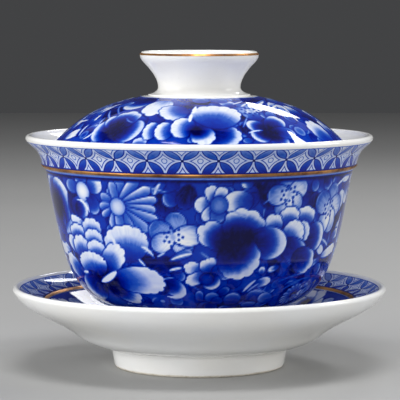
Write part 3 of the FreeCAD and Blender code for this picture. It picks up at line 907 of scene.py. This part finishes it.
def paintedGlaze(name, bordered=None, flipped=False):
    net = Surface(name)
    tone = net.add("ShaderNodeAttribute", {"attribute_name": "pigment"}, output=2)
    if bordered:
        tone = tone.most(latticePigment(net, bordered["borderRun"], bordered["borderMeanR"], flipped))
    mottle = net.noise(900.0, 3.0) - 0.5
    cloud = net.noise(160.0) - 0.5
    painted = tone.step(0.02, 0.3)
    tone = tone + (mottle * glaze["mottle"] * 2 + cloud * glaze["mottle"] * 1.4) * painted
    colour = net.add("ShaderNodeValToRGB", {"stops": glaze["stops"]}, {0: tone})
    wash = net.noise(45.0)
    warm = net.mix(wash.step(0.35, 0.7) * 0.5 * (1 - painted), colour, ink(240, 238, 232))
    relief = net.noise(220.0, 1.0) + net.noise(2600.0, 1.0) * 0.05 - painted * 0.03
    roughness = glaze["roughness"] + net.noise(70.0, 3.0) * 0.02 + painted * 0.005
    return net.finish({
        "Base Color": warm, "Roughness": roughness, "Normal": net.bump(0.035, 0.0006, relief),
        "IOR": glaze["index"],
    })


def plainGlaze(name):
    # bare white glaze, a little warm where it pools
    net = Surface(name)
    pool = net.noise(60.0).step(0.35, 0.7)
    colour = net.mix(pool * 0.6, glaze["bare"], ink(239, 237, 231))
    specks = net.noise(3200.0, 0.0).step(0.80, 0.84)
    colour = net.mix(specks * 0.35, colour, ink(188, 180, 165))
    return net.finish({
        "Base Color": colour, "Roughness": 0.05 + net.noise(80.0, 3.0) * 0.04,
        "Normal": net.bump(0.04, 0.0006, net.noise(260.0, 1.0)), "IOR": glaze["index"],
    })


def footGlaze(name, tread):
    # glazed like the rest, but wiped bare and rough at and just above the tread
    net = Surface(name)
    height = net.split(net.where)[2]
    wander = (net.noise(120.0, 3.0) - 0.5) * 0.0006
    raw = 1 - (height + wander).step(tread + 0.0005, tread + 0.0009)
    sand = net.noise(2500.0, 4.0)
    grime = net.noise(500.0, 4.0).step(0.42, 0.75)
    body = net.mix(sand.step(0.3, 0.75), ink(214, 206, 190), ink(236, 232, 222))
    body = net.mix(grime * 0.45, body, ink(150, 138, 118))
    pool = net.noise(60.0).step(0.35, 0.7)
    skin = net.mix(pool * 0.6, glaze["bare"], ink(238, 236, 230))
    colour = net.mix(raw, skin, body)
    rough = raw * 0.5 + net.noise(80.0, 3.0) * 0.06 + 0.08
    relief = sand * raw + net.noise(260.0, 1.0) * 0.1
    return net.finish({
        "Base Color": colour, "Roughness": rough, "Normal": net.bump(0.3, 0.0003, relief),
        "IOR": glaze["index"],
    })


def brushedGilt(name):
    # fired gold, brushed on by hand: bright where thick, brown where it has been rubbed thin
    net = Surface(name)
    rubbed = net.noise(130.0, 4.0, 0.6).step(0.36, 0.62)
    colour = net.mix(rubbed, ink(112, 68, 36), ink(200, 142, 78))
    fleck = net.noise(1500.0).step(0.64, 0.74)
    colour = net.mix(fleck * 0.3, colour, ink(92, 58, 36))
    return net.finish({
        "Base Color": colour, "Metallic": 0.8 - fleck * 0.3, "Roughness": 0.46 - rubbed * 0.14,
        "Normal": net.bump(0.12, 0.0002, net.noise(900.0, 3.0)),
    })


class Sweep:
    # an outline of straight and curved edges in a node tree, swept round the axis on a carrier circle
    def __init__(self, name, sizes):
        self.tree = bpy.data.node_groups.new(name, "GeometryNodeTree")
        self.net = Net(self.tree)
        self.sizes = dict(sizes, Carrier=0.02, Around=256, Steps=10)
        for label, value in self.sizes.items():
            kind = "NodeSocketInt" if isinstance(value, int) else "NodeSocketFloat"
            self.tree.interface.new_socket(label, in_out="INPUT", socket_type=kind)
        self.tree.interface.new_socket("Finish", in_out="INPUT", socket_type="NodeSocketMaterial")
        self.tree.interface.new_socket("Mesh", in_out="OUTPUT", socket_type="NodeSocketGeometry")
        self.source = self.tree.nodes.new("NodeGroupInput")
        self.edges = []

    def size(self, label):
        return Wire(self.net, self.source.outputs[label])

    def spot(self, r, z):
        # the carrier's own frame has its second axis pointing down
        return self.net.add("ShaderNodeCombineXYZ", None, {0: r - self.size("Carrier"), 1: 0.0 - z})

    def line(self, a, b):
        self.edges.append(self.net.add("GeometryNodeCurvePrimitiveLine", None,
                                       {"Start": self.spot(*a), "End": self.spot(*b)}))

    def bend(self, a, slopeA, b, slopeB):
        dr, dz = b[0] - a[0], b[1] - a[1]
        pull = (dr * dr + dz * dz).root() / 3
        ta, tb = math.radians(slopeA), math.radians(slopeB)
        out = (a[0] + pull * math.cos(ta), a[1] + pull * math.sin(ta))
        back = (b[0] - pull * math.cos(tb), b[1] - pull * math.sin(tb))
        self.edges.append(self.net.add("GeometryNodeCurvePrimitiveBezierSegment", None, {
            "Resolution": self.size("Steps"), "Start": self.spot(*a), "Start Handle": self.spot(*out),
            "End Handle": self.spot(*back), "End": self.spot(*b)}))

    def trace(self, *steps):
        # corners joined by straight edges, or by a bend where a list of its two slopes stands between them
        last, slopes = steps[0], None
        for step in steps[1:]:
            if isinstance(step, list):
                slopes = step
            elif slopes:
                self.bend(last, slopes[0], step, slopes[1])
                last, slopes = step, None
            else:
                self.line(last, step)
                last = step

    def make(self, name, material, wobble=None):
        net = self.net
        join = self.tree.nodes.new("GeometryNodeJoinGeometry")
        for edge in self.edges:
            self.tree.links.new(edge.socket, join.inputs[0])
        circle = net.add("GeometryNodeCurvePrimitiveCircle", None,
                         {"Resolution": self.size("Around"), "Radius": self.size("Carrier")})
        mesh = net.add("GeometryNodeCurveToMesh", None,
                       {"Curve": circle, "Profile Curve": Wire(net, join.outputs[0])})
        mesh = net.add("GeometryNodeMergeByDistance", None, {"Geometry": mesh, "Distance": 2e-6})
        if wobble:
            mesh = wobble(net, mesh)
        mesh = net.add("GeometryNodeFlipFaces", None, {0: mesh})
        mesh = net.add("GeometryNodeSetShadeSmooth", None, {0: mesh})
        mesh = net.add("GeometryNodeRealizeInstances", None, {0: mesh})
        mesh = net.add("GeometryNodeSetMaterial", None, {"Geometry": mesh, "Material": self.size("Finish")})
        output = self.tree.nodes.new("NodeGroupOutput")
        self.tree.links.new(mesh.socket, output.inputs[0])

        carrier = bpy.data.objects.new(name + "Tree", bpy.data.meshes.new(name + "Tree"))
        scene.collection.objects.link(carrier)
        modifier = carrier.modifiers.new("sweep", "NODES")
        modifier.node_group = self.tree
        inputs = {item.name: item.identifier for item in self.tree.interface.items_tree
                  if item.in_out == "INPUT"}
        for label, value in self.sizes.items():
            modifier[inputs[label]] = value
        modifier[inputs["Finish"]] = material
        evaluated = carrier.evaluated_get(bpy.context.evaluated_depsgraph_get())
        mesh = bpy.data.meshes.new_from_object(evaluated)
        mesh.name = name
        bpy.data.objects.remove(carrier)
        return newPiece(name, mesh)


def makeFoot(name, node, piece):
    wall, flare = piece["footWall"] / 1000, piece["footFlare"] / 1000
    sweep = Sweep(name + "Outline", {
        "Base Radius": reach(node) / 1000 - flare, "Flare": flare, "Low": bottom(node) / 1000,
        "High": top(node) / 1000, "Wall": wall, "Tread": wall * outlines["treadRounding"],
    })
    size = sweep.size
    outer, tread, low, high = size("Base Radius"), size("Tread"), size("Low"), size("High")
    inner = outer - size("Wall")
    taper = math.degrees(math.atan2(top(node) - bottom(node), piece["footFlare"]))
    shoulder = (outer + size("Flare"), high)
    sweep.trace(shoulder, (outer, low + tread), [taper + 180, 180], (outer - tread, low),
                (inner + tread, low), [180, 90], (inner, low + tread), (inner, high), shoulder)
    return sweep.make(name, footGlaze(name + "Glaze", bottom(node) / 1000))


knob = {
    "Neck Radius": 0.0119, "Neck Height": 0.0023, "Flare Radius": 0.0149, "Flare Height": 0.0082,
    "Lip Height": 0.0116, "Wall": 0.0023, "Lip Wall": 0.0010, "Bevel Width": 0.0004, "Bevel Height": 0.00055,
    "Collar": 0.00035, "Collar Bevel": 0.0002, "Collar Radius": 0.0148,
}
knobSlopes = {"collar": 172, "flare": 49, "lip": 88, "mouth": 64}


def makeKnob(material):
    sweep = Sweep("knobOutline", dict(knob, **{
        "Crown": bottom("lid_knob") / 1000, "Lip Radius": reach("lid_knob") / 1000,
    }))
    size = sweep.size
    crown, wall, lipWall = size("Crown"), size("Wall"), size("Lip Wall")
    neck = (size("Neck Radius"), crown + size("Neck Height"))
    flare = (size("Flare Radius"), crown + size("Flare Height"))
    lip = (size("Lip Radius"), crown + size("Lip Height"))
    bevel = (lip[0] - size("Bevel Width"), lip[1] + size("Bevel Height"))
    roundTop = (bevel[0] - lipWall * 0.5, bevel[1] + lipWall * 0.5)
    mouth = (bevel[0] - lipWall, bevel[1])
    flareSlope = knobSlopes["flare"]
    lean = math.radians(flareSlope + 90)
    innerFlare = (flare[0] + wall * math.cos(lean), flare[1] + wall * math.sin(lean))
    innerNeck = (neck[0] - wall, crown + size("Neck Height") * 0.75)
    collarOut = (size("Collar Radius"), crown)
    collarTop = (collarOut[0] - size("Collar Bevel"), crown + size("Collar"))
    sweep.trace(collarOut, collarTop, [knobSlopes["collar"], 90], neck, [90, flareSlope], flare,
                [flareSlope, knobSlopes["lip"]], lip, bevel, [90, 180], roundTop, [180, 270], mouth,
                [knobSlopes["mouth"] + 180, flareSlope + 180], innerFlare, [flareSlope + 180, 270], innerNeck,
                (innerNeck[0], crown), collarOut)
    return sweep.make("knob", material)


coat = {"thick": 0.00008, "crown": 0.07, "wander": 0.00016, "cornerDrop": 0.41}


def makeGiltLine(name, low, high, material, lift=0.0):
    # a coat over the sloping face from low to high and lift up the wall above, with edges that wander as a
    # brush does
    run = math.dist(low, high)
    across = ((high[0] - low[0]) / run, (high[1] - low[1]) / run)
    sweep = Sweep(name + "Outline", {
        "Low Radius": low[0] / 1000, "Low Height": low[1] / 1000, "High Radius": high[0] / 1000,
        "High Height": high[1] / 1000, "Thickness": coat["thick"], "Crown": coat["crown"] * run / 1000,
        "Wander": coat["wander"], "Lift": lift / 1000,
    })
    size = sweep.size
    # outwards is to the right of the way from low to high
    normal = (across[1], -across[0])
    a = (size("Low Radius"), size("Low Height"))
    b = (size("High Radius"), size("High Height"))
    thick = size("Thickness")
    corner = (1, -coat["cornerDrop"]) if lift else normal      # the mitre of the slope and the wall
    c = (b[0] + thick * corner[0], b[1] + thick * corner[1])
    d = (a[0] + thick * normal[0], a[1] + thick * normal[1])
    crown = size("Crown")
    ridge = ((c[0] + d[0]) * 0.5 + crown * normal[0], (c[1] + d[1]) * 0.5 + crown * normal[1])
    wallTop = b[1] + size("Lift")
    upTheWall = [(b[0] + thick, wallTop), (b[0], wallTop)] if lift else []
    sweep.trace(a, d, ridge, c, *upTheWall, b, a)

    def wobble(net, mesh):
        spot = net.add("GeometryNodeInputPosition")
        x, y, _ = net.split(spot)
        far = (x * x + y * y).root()
        wave = net.add("ShaderNodeTexNoise", None, {"Vector": spot, "Scale": 300.0, "Detail": 2.0})
        push = (wave - 0.5) * size("Wander")
        offset = net.add("ShaderNodeCombineXYZ", None, {
            0: x / far * across[0] * push, 1: y / far * across[0] * push, 2: push * across[1]})
        return net.add("GeometryNodeSetPosition", None, {"Geometry": mesh, "Offset": offset})

    return sweep.make(name, material, wobble)


bowlShell = makeBowl()
bowlShell.data.materials.append(paintedGlaze("bowlGlaze", bowl))
lidShell = makeLid()
lidShell.data.materials.append(paintedGlaze("lidGlaze"))
saucerShell = makeSaucer()
saucerShell.data.materials.append(paintedGlaze("saucerGlaze", saucer, True))
saucerFoot = makeFoot("saucerFoot", "saucer_foot_ring", saucer)
bowlFoot = makeFoot("bowlFoot", "bowl_foot_ring", bowl)
lidKnob = makeKnob(plainGlaze("whiteGlaze"))

gilt = brushedGilt("wornGilt")
bowlGilt = makeGiltLine("bowlGilt", (bowlLedge[0] - bowl["giltW"], bowlLedge[1] - bowl["giltW"]),
                        bowlLedge, gilt, bowl["giltLift"])
saucerGilt = makeGiltLine("saucerGilt", (saucer["ledgeR"], saucer["ledgeZ"]),
                          (saucer["ledgeR"] - saucer["ledgeW"], saucer["ledgeZ"] - saucer["ledgeD"]), gilt)
knobLip = (reach("lid_knob"), bottom("lid_knob") + knob["Lip Height"] * 1000)
knobTop = (knobLip[0] - knob["Bevel Width"] * 1000, knobLip[1] + knob["Bevel Height"] * 1000)
knobGilt = makeGiltLine("knobGilt", knobLip, knobTop, gilt)

rides = (
    (saucerShell, "saucer", "saucer_dish"), (saucerFoot, "saucer", "saucer_foot_ring"),
    (saucerGilt, "saucer", "saucer_gilt_line"), (bowlShell, "bowl", "bowl_wall"),
    (bowlFoot, "bowl", "bowl_foot_ring"), (bowlGilt, "bowl", "bowl_gilt_band"),
    (lidShell, "lid", "lid_dome"), (lidKnob, "lid", "lid_knob"), (knobGilt, "lid", "lid_knob_gilt_line"),
)
for piece, body, node in rides:
    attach(piece, body)
    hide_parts(node)
print("pieces ride on their bodies")


studio = {
    "floorSize": 3.0,
    "eye": (0.0002, -0.670, 0.1061), "aim": (0.0002, 0.0, 0.04813), "lens": 209.1, "sensor": 36.0,
    "world": 0.10, "worldColour": (0.55, 0.56, 0.58, 1),
    "lit": (0, 0, 0.045),                      # where every lamp points
    "lamps": {                                 # place, width, height, watts
        "frontBox": ((0.0, -1.10, 0.22), 1.0, 0.3, 4.4),
        "highFrontBox": ((0.0, -0.35, 0.95), 0.5, 0.3, 5.0),
        "leftBox": ((-0.86, -0.42, 0.26), 0.36, 0.5, 4.4),
        "leftSide": ((-1.0, 0.05, 0.40), 0.4, 0.5, 3.2),
        "rightSide": ((1.0, 0.05, 0.40), 0.4, 0.5, 4.8),
        "backPanel": ((0.0, 0.55, 0.90), 1.2, 0.9, 1.2),
        "backWindow": ((0.50, 0.37, 0.66), 0.14, 0.09, 1.0),
        "farWindow": ((0.17, 0.66, 0.47), 0.18, 0.12, 0.55),
        "overheadStrip": ((-0.03, -0.055, 0.90), 0.46, 0.010, 0.30),
    },
}


def makeFloor():
    half = studio["floorSize"] / 2
    mesh = bpy.data.meshes.new("floor")
    corners = [(-half, -half, 0), (half, -half, 0), (half, half, 0), (-half, half, 0)]
    mesh.from_pydata(corners, [], [(0, 1, 2, 3)])
    floor = bpy.data.objects.new("floor", mesh)
    scene.collection.objects.link(floor)
    net = Surface("palePaper")
    tint = net.mix(net.noise(4.0, 3.0), ink(164, 164, 164), ink(174, 174, 173))
    mesh.materials.append(net.finish({"Base Color": tint, "Roughness": 0.7}))


def looking(place, aim):
    way = Vector(aim) - Vector(place)
    return Matrix.Translation(place) @ way.to_track_quat("-Z", "Y").to_matrix().to_4x4()


def softBox(name, place, width, height, power):
    data = bpy.data.lights.new(name, "AREA")
    data.shape = "RECTANGLE"
    data.size, data.size_y = width, height
    data.energy = power
    lamp = bpy.data.objects.new(name, data)
    scene.collection.objects.link(lamp)
    lamp.matrix_world = looking(place, studio["lit"])


def makeStudio():
    world = bpy.data.worlds.new("studioAir")
    scene.world = world
    world.use_nodes = True
    background = world.node_tree.nodes["Background"]
    background.inputs["Color"].default_value = studio["worldColour"]
    background.inputs["Strength"].default_value = studio["world"]
    for name, lamp in studio["lamps"].items():
        softBox(name, *lamp)
    camera = bpy.data.objects.new("camera", bpy.data.cameras.new("camera"))
    camera.data.lens = studio["lens"]
    camera.data.sensor_width = studio["sensor"]
    camera.data.clip_start = 0.01
    camera.matrix_world = looking(studio["eye"], studio["aim"])
    scene.collection.objects.link(camera)
    scene.camera = camera
    scene.view_settings.view_transform = "Standard"


makeFloor()
makeStudio()
print("studio set")
